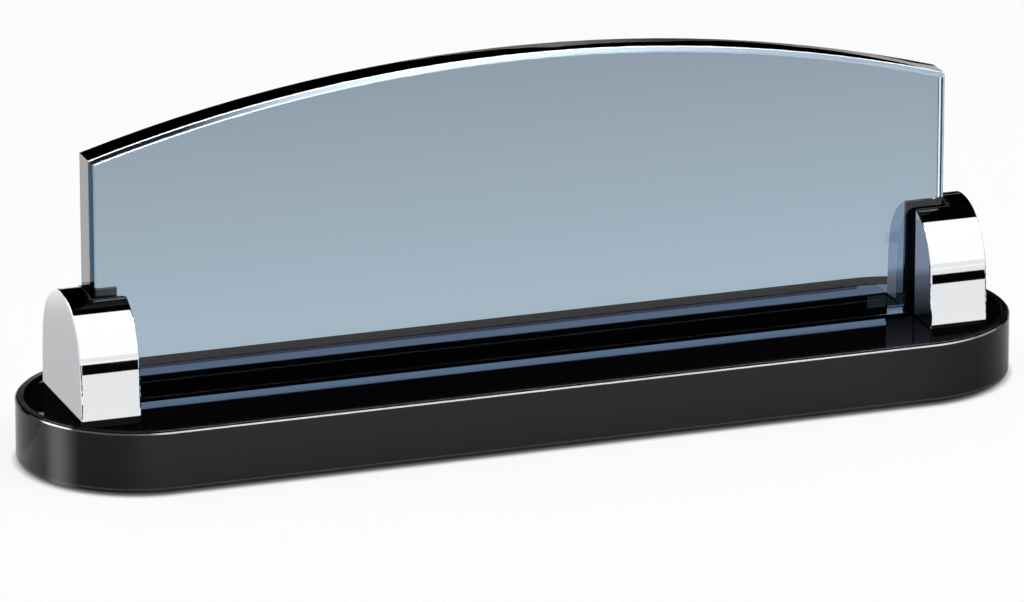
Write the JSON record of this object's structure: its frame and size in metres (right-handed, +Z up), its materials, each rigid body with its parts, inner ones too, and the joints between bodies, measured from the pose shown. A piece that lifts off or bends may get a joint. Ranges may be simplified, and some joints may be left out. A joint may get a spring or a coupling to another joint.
{
  "type": "desk name plate",
  "caption": "Desk name plate: an arched, tinted glass plate stands upright in slotted chrome posts on a long black base with rounded ends, and lifts straight out.",
  "frame": {"origin": "on the desk, under the middle of the base", "axes": "+X along the length to the reader's right, +Y from the read side to the back, +Z up"},
  "size_m": [0.267, 0.0624, 0.0969],
  "materials": {
    "base_lacquer": "black satin lacquer over wood",
    "deck_acrylic": "black, mirror polished",
    "plate_glass": "grey-blue tint, polished faces and edges",
    "post_chrome": "polished, brushed outer cheek",
    "slot_vinyl": "soft, dark grey, matt",
    "fastener_steel": "zinc plated",
    "foot_rubber": "matt black"
  },
  "bodies": {
    "stand": {"base": "base_lacquer", "deck_panel": "deck_acrylic", "left_post": "post_chrome", "right_post": "post_chrome", "left_slot_liner": "slot_vinyl", "right_slot_liner": "slot_vinyl", "left_post_screws": "fastener_steel", "right_post_screws": "fastener_steel", "left_post_washers": "fastener_steel", "right_post_washers": "fastener_steel", "foot_front_left": "foot_rubber", "foot_front_right": "foot_rubber", "foot_rear_left": "foot_rubber", "foot_rear_right": "foot_rubber"},
    "glass": {"name_glass": "plate_glass"}
  },
  "joints": [
    {"name": "glass_lift", "type": "slide", "parent": "stand", "child": "glass", "axis": [0, 0, 1], "range_m": [0, 0.034]}
  ]
}
